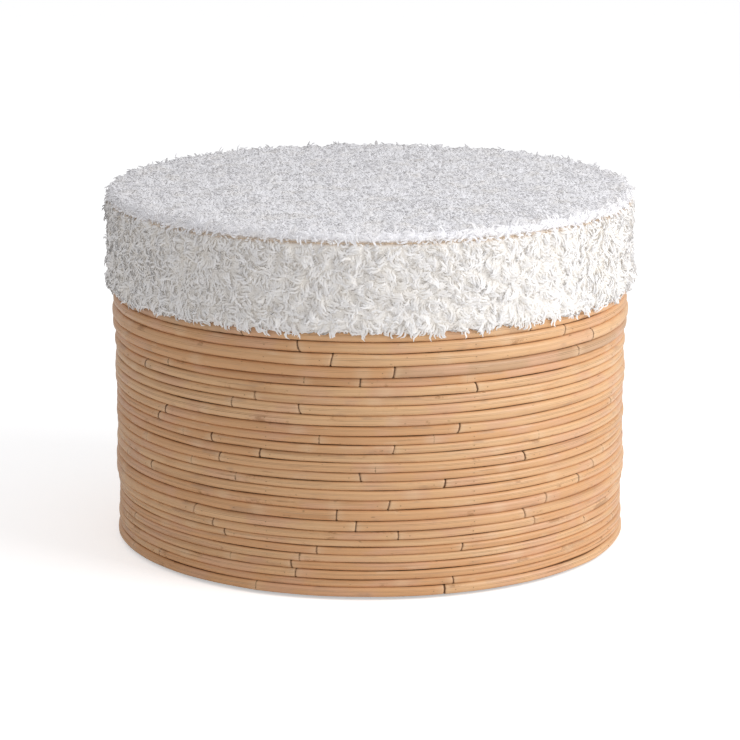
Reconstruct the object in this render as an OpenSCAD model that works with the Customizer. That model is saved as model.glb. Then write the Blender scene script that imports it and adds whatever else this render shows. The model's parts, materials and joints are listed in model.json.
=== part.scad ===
// Round storage ottoman: a plywood drum clad in horizontal rods of rattan cane,
// closed by a padded lid in long-pile fleece that lifts straight off.
// Millimetres, +Z up, origin on the floor under the middle of the drum.

/* [Drum] */
// Outer diameter of the bent plywood wall that the canes are pinned to
wall_d = 556; // [480:2:640]
// Thickness of the plywood wall
wall_t = 3; // [2:0.5:5]
// Radial width of the foot ring and the rim ring
ring_w = 25; // [22:1:32]
// Thickness of the foot ring and the rim ring
ring_t = 15; // [12:1:20]
// Thickness of the panel that forms the floor of the store
floor_t = 12; // [9:1:16]
// Number of upright posts between the two rings
post_count = 8; // [6, 8]
// Width of a post along the wall
post_w = 30; // [24:1:36]
// Depth of a post towards the middle
post_t = 20; // [16:1:22]
// Height of the nylon glides that the drum stands on
glide_h = 3; // [2:0.5:5]
// Number of glides under the foot ring
glide_count = 4; // [4, 6]

/* [Canes] */
// Gap left between one course of cane and the next
course_gap = 0.15; // [0.05:0.05:0.4]
// Gap between two cane ends that butt together
butt_gap = 0.6; // [0.4:0.1:1.5]
// Distance from a cane's end to the pin that holds it
end_pin = 12; // [8:1:20]

/* [Lid] */
// Diameter of the lid over its pile
lid_d = 600; // [596:2:680]
// Thickness of the plywood lid board
board_t = 15; // [12:1:18]
// Thickness of the foam pad
foam_t = 69; // [40:0.5:90]
// Thickness of the wadding over the foam
wadding_t = 5; // [3:0.5:8]
// Thickness of the cover over the top of the pad, backing and pile together
pile_t = 13; // [8:0.5:20]
// Height of the ring under the lid that keeps it in place
locator_h = 18; // [12:1:30]
// Slack between that ring and the rim, on the radius
locator_play = 3.5; // [2:0.5:6]
// Radius of the roll round the upper edge of the lid
edge_roll = 20; // [14:1:24]
// How far the pile hangs below the lid's seat
hem_drop = 6; // [4:0.5:10]

/* [Hidden] */
$fn = 96;

// Gauge of the cane in each course, from the floor up
GAUGES = [10.5, 8.5, 9.5, 8.5, 8.5, 8.5, 8, 9.5, 11.5, 11.5, 10.5, 10.5, 9.5, 9.5,
          10.5, 9.5, 9.5, 9.5, 10.5, 11.5, 10.5, 9.5, 10.5, 9.5, 12.5, 13.5, 12, 11.5];
// Where cane ends meet on the front half of each course, in degrees to the right of the front
FRONT_BUTTS = [[16], [-54, 18], [-16], [-73, -17], [-66], [20], [-33], [-36, 6, 38],
               [-41, -3, 35], [-7, 41, 69], [4, 52], [-56, 58], [16], [-2],
               [-34, 35], [-24], [-36, 5], [-53, 68], [-50, 19], [80], [-81, -15], [-25],
               [-58, 23], [-2, 85], [5], [-8, 56], [-15, 46], [-28, 36]];
// Hidden butts: the first course's angle, the shift from one course to the next and the arc they keep to
BACK_BUTT_START = 105;
BACK_BUTT_STEP = 53;
BACK_BUTT_SPAN = 150;
BACK_BUTT_SECOND = 75;                // from one hidden butt to the other in a course that has two

courses = len(GAUGES);
wall_r = wall_d / 2;
wall_ri = wall_r - wall_t;
fit_gap = 0.2;                        // slack between pieces of wood that fit together
frame_r = wall_ri - fit_gap;          // outer radius of rings, floor panel and posts
ring_ri = frame_r - ring_w;
post_r = frame_r - post_t / 2;        // radius of the posts' centres
cane_seat = wall_r + 0.1;             // radius that the backs of the canes touch
wall_seam_gap = 0.5;                  // between the two ends of the bent wall

// Height of the underside of course i
function course_z(i) = i == 0 ? glide_h : course_z(i - 1) + GAUGES[i - 1] + course_gap;
wall_top = course_z(courses - 1) + GAUGES[courses - 1];
floor_z = glide_h + ring_t;
store_z = floor_z + floor_t;          // the surface things stand on inside
rim_z = wall_top - ring_t;

// Screws: shank radius, head radius and head depth
SCREW = [2, 4, 3];
LOCATOR_SCREW = [1.75, 3.5, 2.6];
screw_slack = 0.05;
screw_bite = 30;                      // how far a frame screw enters a post
locator_screws = 6;
locator_bite = 10;

// Pins of the canes: over a post they are long, and elsewhere they end inside the wall
PIN_R = 0.6;
PIN_BITE = 10;
WALL_PIN_BITE = 2.4;
PIN_PROUD = 0.2;                      // how far a pin's head stands out of its cane

// The lid, from the rim up
soft_gap = 0.3;                       // slack between the cover and the wadding under it
side_padding = 28;                    // from the board's edge out to the tips of the pile
seat_gap = 1;                         // between the rim and the cover that rests on it
flange_t = 2;                         // the cover where it is turned in under the board
flange_z = wall_top + seat_gap;
board_z = flange_z + flange_t + fit_gap;
foam_z = board_z + board_t + fit_gap;
wadding_top = foam_z + foam_t + fit_gap + wadding_t;
lid_top = wadding_top + soft_gap + pile_t;
board_r = lid_d / 2 - side_padding;
wadding_r = board_r + wadding_t;
cover_ri = wadding_r + soft_gap;
hem_z = flange_z - hem_drop;
hem_r = cane_seat + max(GAUGES) + 0.4; // the pile hangs outside the thickest cane
hem_roll = 7;
seam_drop = 12;                       // from the top of the lid to the seam round its shoulder
seam_z = lid_top - seam_drop;
seam_gap = 0.2;
flange_ri = ring_ri + 2.5;
sheet_t = 0.6;                        // thickness of the dust cover
sheet_z = board_z - fit_gap - sheet_t;
sheet_r = flange_ri - 1;
locator_ro = ring_ri - locator_play;
locator_w = 25;
locator_z = sheet_z - fit_gap - locator_h;
staple_count = 44;
STAPLE = [10, 1.2, 0.6, 8];           // crown length, wire width, wire height, leg length
staple_r = flange_ri + 10;

function course_name(i) = str("cane_course_", i < 9 ? "0" : "", i + 1);

// ---- shapes that repeat ----

module tube(ro, ri, z, h) {
    translate([0, 0, z]) difference() {
        cylinder(r = ro, h = h, $fn = 180);
        translate([0, 0, -1]) cylinder(r = ri, h = h + 2, $fn = 180);
    }
}

// Copies its children to count places on a circle, the first one half a step round if half is 1
module around(count, r, half = 0) {
    for (k = [0:count - 1])
        rotate([0, 0, (k + half / 2) * 360 / count]) translate([r, 0, 0]) children();
}

// A countersunk screw, head down at the origin, with a cross slot in its head
module screw(size, length) {
    slot = [size[1] * 1.1, size[0] * 0.4];
    difference() {
        union() {
            cylinder(r1 = size[1], r2 = size[0], h = size[2], $fn = 32);
            cylinder(r = size[0], h = length, $fn = 32);
        }
        for (turn = [0, 90]) rotate([0, 0, turn])
            translate([-slot[0] / 2, -slot[1] / 2, -1]) cube([slot[0], slot[1], 1 + size[2] * 0.5]);
    }
}

// The hole that a screw sits in, with the same origin
module screw_hole(size, length) {
    slack = screw_slack;
    translate([0, 0, -0.01]) cylinder(r1 = size[1] + 2 * slack, r2 = size[0] + slack, h = size[2], $fn = 32);
    translate([0, 0, -1]) cylinder(r = size[0] + slack, h = length + 1.5, $fn = 32);
}

// ---- drum ----

foot_screw_length = ring_t + floor_t + screw_bite;
rim_screw_length = ring_t + screw_bite;

module foot_screw_places() {
    around(post_count, post_r, half = 1) translate([0, 0, glide_h]) children();
}

module rim_screw_places() {
    around(post_count, post_r, half = 1) translate([0, 0, wall_top]) rotate([180, 0, 0]) children();
}

module foot_ring() {
    color("burlywood") difference() {
        tube(frame_r, ring_ri, glide_h, ring_t);
        foot_screw_places() screw_hole(SCREW, foot_screw_length);
        glide_places() glide_nail(screw_slack);
    }
}

module floor_panel() {
    color("burlywood") difference() {
        translate([0, 0, floor_z]) cylinder(r = frame_r, h = floor_t, $fn = 180);
        foot_screw_places() screw_hole(SCREW, foot_screw_length);
    }
}

module rim_ring() {
    color("burlywood") difference() {
        tube(frame_r, ring_ri, rim_z, ring_t);
        rim_screw_places() screw_hole(SCREW, rim_screw_length);
    }
}

// One sheet of thin plywood bent to a drum; its ends meet over a post
module wall_sheet() {
    color("tan") difference() {
        tube(wall_r, wall_ri, glide_h, wall_top - glide_h);
        rotate([0, 0, 1.5 * 360 / post_count]) translate([frame_r - 1, -wall_seam_gap / 2, 0])
            cube([wall_t + 2, wall_seam_gap, wall_top + 1]);
    }
}

// An upright whose outer face follows the wall
module post(i) {
    color("wheat") difference() {
        intersection() {
            rotate([0, 0, (i + 0.5) * 360 / post_count]) translate([frame_r - post_t, -post_w / 2, store_z])
                cube([post_t + 1, post_w, rim_z - store_z]);
            cylinder(r = frame_r, h = wall_top, $fn = 180);
        }
        foot_screw_places() screw_hole(SCREW, foot_screw_length);
        rim_screw_places() screw_hole(SCREW, rim_screw_length);
    }
}

module frame_screws() {
    color("silver") {
        foot_screw_places() screw(SCREW, foot_screw_length);
        rim_screw_places() screw(SCREW, rim_screw_length);
    }
}

GLIDE_R = 11;
GLIDE_NAIL = [0.9, 14];               // radius and length
glide_ring_r = (frame_r + ring_ri) / 2;

module glide_places() around(glide_count, glide_ring_r) children();

module glide_nail(slack = 0) {
    translate([0, 0, glide_h / 2]) cylinder(r = GLIDE_NAIL[0] + slack, h = GLIDE_NAIL[1] + slack, $fn = 24);
}

// A nylon button with a rounded edge, on its own nail
module glide(i) {
    round_r = glide_h / 3;
    color("gainsboro") rotate([0, 0, i * 360 / glide_count]) translate([glide_ring_r, 0, 0]) {
        rotate_extrude($fn = 48) {
            square([GLIDE_R - round_r, glide_h]);
            translate([0, round_r]) square([GLIDE_R, glide_h - round_r]);
            translate([GLIDE_R - round_r, round_r]) circle(r = round_r, $fn = 24);
        }
        glide_nail();
    }
}

// ---- canes ----

function wrapped(a) = (a + 360) % 360;

// A hidden butt at the back of each course, and a second one on courses with a single butt in front
function back_butts(i) =
    let (a = BACK_BUTT_START + (i * BACK_BUTT_STEP) % BACK_BUTT_SPAN)
    len(FRONT_BUTTS[i]) > 1 ? [a] :
    a < 180 ? [a, a + BACK_BUTT_SECOND] : [a - BACK_BUTT_SECOND, a];

// Angles at which the canes of course i butt together, in degrees to the right of the front, in order
function butts(i) =
    let (front = FRONT_BUTTS[i], back = back_butts(i),
         right = [for (a = front) if (a >= 0) a], left = [for (a = front) if (a < 0) wrapped(a)])
    concat(right, back, left);

function cane_r(i) = cane_seat + GAUGES[i] / 2;
function cane_angle(i, length) = length / cane_r(i) * 180 / PI;
// Turns an angle measured from the front into one measured from +X
function from_front(a) = a - 90;
function apart(a, b) = abs((a - b + 540) % 360 - 180);
function clear_of(a, others, margin) = min([for (b = others) apart(a, b)]) > margin;

// A course is a ring of cane lengths laid end to end
module cane_course(i) {
    ends = butts(i);
    half = cane_angle(i, butt_gap) / 2;
    color("peru") translate([0, 0, course_z(i) + GAUGES[i] / 2]) for (k = [0:len(ends) - 1]) {
        from = ends[k] + half;
        to = (k + 1 < len(ends) ? ends[k + 1] : ends[0] + 360) - half;
        rotate([0, 0, from_front(from)]) rotate_extrude(angle = to - from, $fn = 180)
            translate([cane_r(i), 0]) circle(r = GAUGES[i] / 2, $fn = 32);
    }
}

// The posts' angles from the front
POST_ANGLES = [for (k = [0:post_count - 1]) wrapped((k + 0.5) * 360 / post_count + 90)];
// Pins of course i: a long one at each post that no butt is near, and a short one either side of each butt
function post_pins(i) = [for (a = POST_ANGLES) if (clear_of(a, butts(i), 2 * cane_angle(i, end_pin))) a];
function end_pins(i) = [for (a = butts(i), side = [-1, 1]) a + side * cane_angle(i, end_pin)];

module pin(i, a, bite) {
    rotate([0, 0, from_front(a)]) translate([wall_r - bite, 0, course_z(i) + GAUGES[i] / 2])
        rotate([0, 90, 0]) cylinder(r = PIN_R, h = bite + GAUGES[i] + PIN_PROUD, $fn = 16);
}

module cane_pins() {
    color("dimgray") for (i = [0:courses - 1]) {
        for (a = post_pins(i)) pin(i, a, PIN_BITE);
        for (a = end_pins(i)) pin(i, a, WALL_PIN_BITE);
    }
}

// ---- lid ----

locator_screw_length = board_z - locator_z + locator_bite;

module locator_screw_places() {
    around(locator_screws, locator_ro - locator_w / 2) translate([0, 0, locator_z]) children();
}

module lid_board() {
    color("burlywood") difference() {
        translate([0, 0, board_z]) cylinder(r = board_r, h = board_t, $fn = 180);
        locator_screw_places() screw_hole(LOCATOR_SCREW, locator_screw_length);
    }
}

module locating_ring() {
    color("burlywood") difference() {
        tube(locator_ro, locator_ro - locator_w, locator_z, locator_h);
        locator_screw_places() screw_hole(LOCATOR_SCREW, locator_screw_length);
    }
}

module locating_ring_screws() {
    color("silver") locator_screw_places() screw(LOCATOR_SCREW, locator_screw_length);
}

module foam_pad() {
    color("khaki") translate([0, 0, foam_z]) cylinder(r = board_r, h = foam_t, $fn = 180);
}

// Wadding lies over the foam and down the side to the underside of the board
module wadding_wrap() {
    inside_h = wadding_top - wadding_t - board_z;
    color("white") difference() {
        translate([0, 0, board_z]) cylinder(r = wadding_r, h = inside_h + wadding_t, $fn = 180);
        translate([0, 0, board_z - 1]) cylinder(r = board_r + fit_gap, h = inside_h + 1, $fn = 180);
    }
}

// Half the lid's outline over the pile, from the middle out
module lid_outline() {
    r = lid_d / 2;
    translate([0, hem_z]) square([r - edge_roll, lid_top - hem_z]);
    translate([0, hem_z]) square([r - hem_roll, lid_top - edge_roll - hem_z]);
    translate([0, hem_z + hem_roll]) square([r, lid_top - edge_roll - hem_z - hem_roll]);
    translate([r - edge_roll, lid_top - edge_roll]) circle(r = edge_roll, $fn = 64);
    translate([r - hem_roll, hem_z + hem_roll]) circle(r = hem_roll, $fn = 48);
}

// The top panel covers the pad and rolls over its edge as far as the seam
module cover_top_panel() {
    color("whitesmoke") rotate_extrude($fn = 180) difference() {
        lid_outline();
        square([lid_d, seam_z]);
        square([cover_ri, wadding_top + soft_gap]);
    }
}

// The side band hangs from the seam, and its lower edge is turned in under the board
module cover_side_band() {
    color("white") rotate_extrude($fn = 180) difference() {
        lid_outline();
        translate([0, seam_z - seam_gap]) square([lid_d, lid_top]);
        translate([0, flange_z + flange_t]) square([cover_ri, lid_top]);
        square([flange_ri, lid_top]);
        square([hem_r, flange_z]);
    }
}

module dust_cover() {
    color("darkslategray") difference() {
        translate([0, 0, sheet_z]) cylinder(r = sheet_r, h = sheet_t, $fn = 180);
        locator_screw_places() screw_hole(LOCATOR_SCREW, locator_screw_length);
    }
}

// A staple driven upwards, with the top of its crown at the origin
module staple() {
    wire = [STAPLE[1], STAPLE[2]];
    translate([-wire[0] / 2, -STAPLE[0] / 2, -wire[1]]) cube([wire[0], STAPLE[0], wire[1]]);
    for (side = [0, 1]) mirror([0, side, 0])
        translate([-wire[0] / 2, STAPLE[0] / 2 - wire[1], -wire[1]])
            cube([wire[0], wire[1], wire[1] + STAPLE[3]]);
}

module cover_staples() {
    color("silver") around(staple_count, staple_r) translate([0, 0, flange_z]) staple();
}

// ---- what is drawn ----

foot_ring();
floor_panel();
rim_ring();
wall_sheet();
frame_screws();
cane_pins();
for (i = [0:post_count - 1]) post(i);
for (i = [0:glide_count - 1]) glide(i);
for (i = [0:courses - 1]) cane_course(i);
lid_board();
locating_ring();
locating_ring_screws();
foam_pad();
wadding_wrap();
cover_top_panel();
cover_side_band();
dust_cover();
cover_staples();
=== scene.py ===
# %% [markdown]
# # A round storage ottoman, dressed in cane and fleece
#
# The engineering model comes in first and stays fixed: a plywood drum, rings of cane, a loose
# lid with a board, foam and a cover. This lesson gives each piece the shape and the finish of
# the real thing. Canes follow a ring, and fleece grows on a surface, so both are made by
# Geometry Nodes. The pad is blown up by a cloth simulation, because that is how a stuffed
# cover finds its shape.

# %% Load the frame
import json
import math
import bmesh
import bpy
import numpy as np
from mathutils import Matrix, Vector


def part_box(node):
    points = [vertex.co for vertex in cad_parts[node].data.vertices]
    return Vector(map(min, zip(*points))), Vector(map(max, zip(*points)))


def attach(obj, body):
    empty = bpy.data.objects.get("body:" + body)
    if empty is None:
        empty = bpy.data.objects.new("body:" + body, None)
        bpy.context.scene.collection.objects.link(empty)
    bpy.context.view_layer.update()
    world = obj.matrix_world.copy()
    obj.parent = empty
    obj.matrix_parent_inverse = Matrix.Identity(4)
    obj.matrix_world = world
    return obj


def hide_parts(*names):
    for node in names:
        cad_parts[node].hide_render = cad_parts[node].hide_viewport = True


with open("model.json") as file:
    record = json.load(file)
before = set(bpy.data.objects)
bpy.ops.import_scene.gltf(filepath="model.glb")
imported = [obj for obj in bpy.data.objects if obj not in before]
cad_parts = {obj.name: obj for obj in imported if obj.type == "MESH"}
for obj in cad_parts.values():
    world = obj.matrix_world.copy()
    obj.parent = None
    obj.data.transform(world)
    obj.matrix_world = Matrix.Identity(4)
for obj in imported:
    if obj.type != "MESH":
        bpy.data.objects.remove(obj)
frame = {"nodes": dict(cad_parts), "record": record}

MM = 0.001
TURN = 2 * math.pi
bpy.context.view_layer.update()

# %% [markdown]
# ## Camera
#
# The lid shows as a shallow ellipse and the sides of the drum hardly converge, so the eye is
# far off and only a little above the lid. A long lens gives that. The camera aims at a point on
# the drum's axis, a little under half its height.

# %% Camera
def look_from(distance, elevation, aim_z, lens):
    camera = bpy.data.objects.new("camera", bpy.data.cameras.new("camera"))
    bpy.context.scene.collection.objects.link(camera)
    camera.data.lens = lens
    camera.data.clip_start = 0.1
    camera.location = (0, -distance * math.cos(elevation), aim_z + distance * math.sin(elevation))
    away = camera.location - Vector((0, 0, aim_z))
    camera.rotation_euler = away.to_track_quat("Z", "Y").to_euler()
    bpy.context.scene.camera = camera

look_from(distance=3.43, elevation=math.radians(13.2), aim_z=0.184, lens=146.4)

# %% [markdown]
# ## Light and floor
#
# A pale floor and a pale sky fill every shadow. One large soft light stands to the right of the
# front and not very high, so the drum darkens evenly towards the left and the top of the lid
# stays a little greyer than its right side.

# %% Light and floor
def sky(colour, strength):
    world = bpy.data.worlds.new("sky")
    world.use_nodes = True
    background = world.node_tree.nodes["Background"]
    background.inputs["Color"].default_value = (*colour, 1)
    background.inputs["Strength"].default_value = strength
    bpy.context.scene.world = world

def soft_light(name, azimuth, elevation, distance, size, watts, colour=(1, 1, 1)):
    """A square lamp that faces the ottoman. Azimuth is to the right of the front, in degrees."""
    lamp = bpy.data.lights.new(name, "AREA")
    lamp.size = size
    lamp.energy = watts
    lamp.color = colour
    light = bpy.data.objects.new(name, lamp)
    bpy.context.scene.collection.objects.link(light)
    a, e = math.radians(azimuth), math.radians(elevation)
    away = Vector((math.sin(a) * math.cos(e), -math.cos(a) * math.cos(e), math.sin(e)))
    light.location = Vector((0, 0, 0.2)) + away * distance
    light.rotation_euler = away.to_track_quat("Z", "Y").to_euler()

bpy.context.scene.view_settings.view_transform = "Standard"
sky((1.0, 1.0, 1.02), 0.55)
soft_light("key", azimuth=64, elevation=28, distance=2.6, size=1.8, watts=44)

# %% [markdown]
# ## Short words for node trees
#
# Materials and geometry are both made of nodes, and a tree written out node by node is long.
# These few helpers add a node, feed it and give back one of its outputs, so that a tree reads
# like a formula. A group's inputs get names and types, and a modifier's inputs are then set by
# the identifiers that stand behind those names.

# %% Helpers for node trees
def put(tree, kind, feeds=(), out=0, **settings):
    """Adds a node with these settings, feeds its inputs and returns one of its outputs."""
    node = tree.nodes.new(kind)
    for name, value in settings.items():
        setattr(node, name, value)
    for key, value in dict(feeds).items():
        if isinstance(value, bpy.types.NodeSocket):
            tree.links.new(value, node.inputs[key])
        else:
            node.inputs[key].default_value = value
    return node.outputs[out]

def maths(tree, operation, *values):
    return put(tree, "ShaderNodeMath", enumerate(values), operation=operation)

def vectors(tree, operation, *values):
    return put(tree, "ShaderNodeVectorMath", enumerate(values), operation=operation)

def scaled(tree, vector, factor):
    return put(tree, "ShaderNodeVectorMath", {0: vector, 3: factor}, operation="SCALE")

def summed(tree, *terms):
    total = terms[0]
    for term in terms[1:]:
        total = vectors(tree, "ADD", total, term)
    return total

def spread(tree, value, low, high, to_low=0.0, to_high=1.0, shape="SMOOTHSTEP"):
    """Turns the stretch low to high of a value into the stretch to_low to to_high."""
    feeds = {0: value, 1: low, 2: high, 3: to_low, 4: to_high}
    return put(tree, "ShaderNodeMapRange", feeds, interpolation_type=shape)

def point(tree, x, y, z):
    return put(tree, "ShaderNodeCombineXYZ", {0: x, 1: y, 2: z})

def noise(tree, vector, scale, detail=2.0, rough=0.5, colour=False):
    feeds = {"Vector": vector, "Scale": scale, "Detail": detail, "Roughness": rough}
    return put(tree, "ShaderNodeTexNoise", feeds, out=1 if colour else 0)

def tint(tree, factor, one, other, mode="MIX"):
    """Mixes two colours, either of which may be a plain one."""
    plain = [c if isinstance(c, bpy.types.NodeSocket) else (*c, 1) for c in (one, other)]
    return put(tree, "ShaderNodeMix", {0: factor, 6: plain[0], 7: plain[1]}, out=2,
               data_type="RGBA", blend_type=mode)

def group(name, kind, inputs, outputs):
    """A node group with named sockets. Returns it with its inputs and its output node."""
    tree = bpy.data.node_groups.new(name, kind)
    for direction, sockets in (("INPUT", inputs), ("OUTPUT", outputs)):
        for label, socket, *value in sockets:
            made = tree.interface.new_socket(label, in_out=direction, socket_type="NodeSocket" + socket)
            if value:
                made.default_value = value[0]
    return tree, tree.nodes.new("NodeGroupInput").outputs, tree.nodes.new("NodeGroupOutput")

# %% [markdown]
# Every material starts from the same shader, and sets on it what is the same all over. What
# changes over the surface is fed in afterwards.

# %% Helpers for materials
def material(name, **constants):
    """A new material: its tree, and its Principled shader with these constants on its sockets."""
    made = bpy.data.materials.new(name)
    made.use_nodes = True
    shader = made.node_tree.nodes["Principled BSDF"]
    for label, value in constants.items():
        shader.inputs[label.replace("_", " ")].default_value = value
    return made, made.node_tree, shader

def bump(tree, shader, height, distance, strength=1.0):
    feeds = {"Height": height, "Distance": distance, "Strength": strength}
    tree.links.new(put(tree, "ShaderNodeBump", feeds), shader.inputs["Normal"])

def carried(tree, name):
    """What a piece's own attribute says at each point."""
    return put(tree, "ShaderNodeAttribute", out=2, attribute_name=name)

def place(tree):
    return put(tree, "ShaderNodeTexCoord", out="Object")

# %% [markdown]
# Long fibres run through cane, through solid timber and through the face of plywood. One group
# makes them for all three: it takes a point whose first number runs along the fibre, stretches
# it, and gives broad streaks and fine fibres as two masks.

# %% A group for long fibres
def make_fibres():
    tree, given, result = group("long fibres", "ShaderNodeTree",
        [("Point", "Vector"), ("Streaks per metre", "Float", 90.0), ("Stretch", "Float", 12.0)],
        [("Streaks", "Float"), ("Fibres", "Float")])
    squeeze = point(tree, maths(tree, "DIVIDE", 1.0, given["Stretch"]), 1.0, 1.0)
    lengthwise = vectors(tree, "MULTIPLY", given["Point"], squeeze)
    for label, finer, detail in (("Streaks", 1.0, 3.0), ("Fibres", 6.0, 1.0)):
        scale = maths(tree, "MULTIPLY", given["Streaks per metre"], finer)
        tree.links.new(noise(tree, lengthwise, scale, detail, 0.6), result.inputs[label])
    return tree

FIBRES = make_fibres()

def fibres(tree, at, per_metre, stretch):
    """The two masks of the group, streaks and fibres, from 0 to 1."""
    node = tree.nodes.new("ShaderNodeGroup")
    node.node_tree = FIBRES
    tree.links.new(at, node.inputs["Point"])
    node.inputs["Streaks per metre"].default_value = per_metre
    node.inputs["Stretch"].default_value = stretch
    return node.outputs["Streaks"], node.outputs["Fibres"]

# %% [markdown]
# ## Rattan
#
# Cane is a climbing palm's stem with its thin glossy skin on. Each length has its own tone, from
# straw to pinkish brown, and carries lengthwise streaks, small dark flecks and, every hand's
# breadth or two, a node: a dark oblique ring where a leaf grew. The cut ends are darker, and
# the grooves between courses are darkened by dirt and varnish and by painted shade. A pattern
# in the drum's own space would run through the canes, so it is laid along each cane with the
# attributes that the canes carry: along, around, cane, to_end and to_ring. The first cell lays
# the skin's colours, the next one the marks at nodes and ends and the dirt and painted shade in
# the grooves, and the last puts them into one material.

# %% The skin of a cane
STRAW, TAN, ROSE, GREY = (0.75, 0.47, 0.25), (0.68, 0.375, 0.18), (0.69, 0.40, 0.25), (0.46, 0.29, 0.18)
PALE, BROWN, DIRT_AND_SHADE = (0.76, 0.53, 0.33), (0.34, 0.16, 0.065), (0.15, 0.065, 0.025)
GIRTH = 10 * math.pi * MM              # once round a cane of the usual gauge

def stretch(tree, at, along=1.0, around=1.0):
    """Squeezes a place on the cane, so that a pattern laid there runs long or wide."""
    return vectors(tree, "MULTIPLY", at, (along, around, 1.0))

def laid_over(tree, colour, layers):
    """Lays colours one over another, each as strongly as its mask says between low and high."""
    for mask, low, high, at_low, at_high, other in layers:
        colour = tint(tree, spread(tree, mask, low, high, at_low, at_high), colour, other)
    return colour

def cane_skin(tree, at, cane, streaks, fine, blotches):
    """Each cane's own tone, with mottle, blotches, streaks, scuffs and flecks laid over it."""
    mottle = noise(tree, stretch(tree, at, around=0.3), 13.0, 2.0)
    scuffs = noise(tree, stretch(tree, at, along=0.7), 17.0, 6.0, 0.75)
    flecks = noise(tree, stretch(tree, at, along=0.3), 420.0, 1.0)
    tone = tint(tree, spread(tree, cane, 0.15, 0.85, 0.1, 0.9), TAN, STRAW)
    return laid_over(tree, tone, (
        (cane, 0.94, 0.96, 0, 0.6, GREY),
        (mottle, 0.5, 0.64, 0, 0.6, ROSE),
        (mottle, 0.3, 0.42, 0.5, 0, TAN),
        (blotches, 0.58, 0.72, 0, 0.55, GREY),
        (blotches, 0.28, 0.4, 0.5, 0, PALE),
        (streaks, 0.5, 0.78, 0, 0.5, BROWN),
        (streaks, 0.2, 0.42, 0.45, 0, PALE),
        (fine, 0.62, 0.8, 0, 0.35, BROWN),
        (scuffs, 0.6, 0.66, 0, 0.6, BROWN),
        (flecks, 0.74, 0.8, 0, 0.5, DIRT_AND_SHADE)))

# %% Nodes, cut ends and grooves
def nodes_and_cuts(tree, colour, at, cane, to_ring, to_end):
    """A dark ragged ring at every node and a soiled cut at every end, with paler skin beside them."""
    ragged = maths(tree, "MULTIPLY", maths(tree, "SUBTRACT", noise(tree, at, 330.0, 3.0), 0.5), 4 * MM)
    ring = maths(tree, "ADD", to_ring, ragged)
    cut = maths(tree, "ADD", to_end, maths(tree, "MULTIPLY", ragged, 0.6))
    colour = laid_over(tree, colour, (
        (ring, 0, 14 * MM, 0.4, 0, PALE),
        (ring, 0.2 * MM, 1.3 * MM, 0.85, 0, DIRT_AND_SHADE),
        (cut, 0, 12 * MM, 0.4, 0, PALE)))
    soiled = spread(tree, maths(tree, "FRACT", maths(tree, "MULTIPLY", cane, 9.7)), 0, 1, 0.15, 0.9)
    at_cut = spread(tree, cut, 0.3 * MM, 1.4 * MM, 1, 0)
    return tint(tree, maths(tree, "MULTIPLY", soiled, at_cut), colour, DIRT_AND_SHADE)

def grooves_dirt_and_shade(tree, colour, at, around, blotches):
    """Dirt and painted shade along the two lines where a cane touches the courses above and below it."""
    turned = maths(tree, "FRACT", maths(tree, "MULTIPLY", around, 2.0))
    groove = maths(tree, "ABSOLUTE", maths(tree, "SUBTRACT", turned, 0.5))
    uneven = maths(tree, "MULTIPLY", maths(tree, "SUBTRACT", blotches, 0.5), 0.3)
    worn = maths(tree, "ADD", groove, uneven)
    lie = spread(tree, noise(tree, stretch(tree, at, around=0.0), 6.0, 2.0), 0.4, 0.6, 0.25, 0.9)
    # The cane is darkened near the uneven groove lines: partly dirt, partly painted shade where the courses
    # meet.
    return tint(tree, maths(tree, "MULTIPLY", lie, spread(tree, worn, 0.15, 0.02)), colour, DIRT_AND_SHADE)

# %% Rattan
def rattan():
    made, tree, shader = material("rattan", Coat_Weight=0.12, Coat_Roughness=0.34, Specular_IOR_Level=0.3)
    along, around, cane, to_end, to_ring = (
        carried(tree, name) for name in ("along", "around", "cane", "to_end", "to_ring"))
    at = point(tree, along, maths(tree, "MULTIPLY", around, GIRTH), maths(tree, "MULTIPLY", cane, 7.0))
    streaks, fine = fibres(tree, at, per_metre=130, stretch=26)
    blotches = noise(tree, stretch(tree, at, along=0.45), 44.0, 3.0, 0.6)
    colour = cane_skin(tree, at, cane, streaks, fine, blotches)
    colour = nodes_and_cuts(tree, colour, at, cane, to_ring, to_end)
    colour = grooves_dirt_and_shade(tree, colour, at, around, blotches)
    tree.links.new(colour, shader.inputs["Base Color"])
    tree.links.new(spread(tree, streaks, 0.2, 0.8, 0.34, 0.5), shader.inputs["Roughness"])
    bump(tree, shader, maths(tree, "ADD", streaks, maths(tree, "MULTIPLY", fine, 0.4)), 0.25 * MM, 0.6)
    return made

RATTAN = rattan()

# %% [markdown]
# ## Canes
#
# Each course is three or four lengths of cane laid end to end. The frame says where every
# length starts and ends: those are the stretches of the ring that its triangles cover. The
# first cell reads them, and the next one draws each length as a line of points that carries
# what the node tree and the material need: how thick the cane is there, how far along it we
# are, how far the nearest end and the nearest node are. Real canes are never quite straight or
# round, so thickness and height wander a little, with the same random numbers every time.

# %% Where each length of cane lies
def vertices_of(mesh):
    flat = np.empty(3 * len(mesh.vertices), np.float32)
    mesh.vertices.foreach_get("co", flat)
    return flat.reshape(-1, 3).astype(float)

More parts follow.
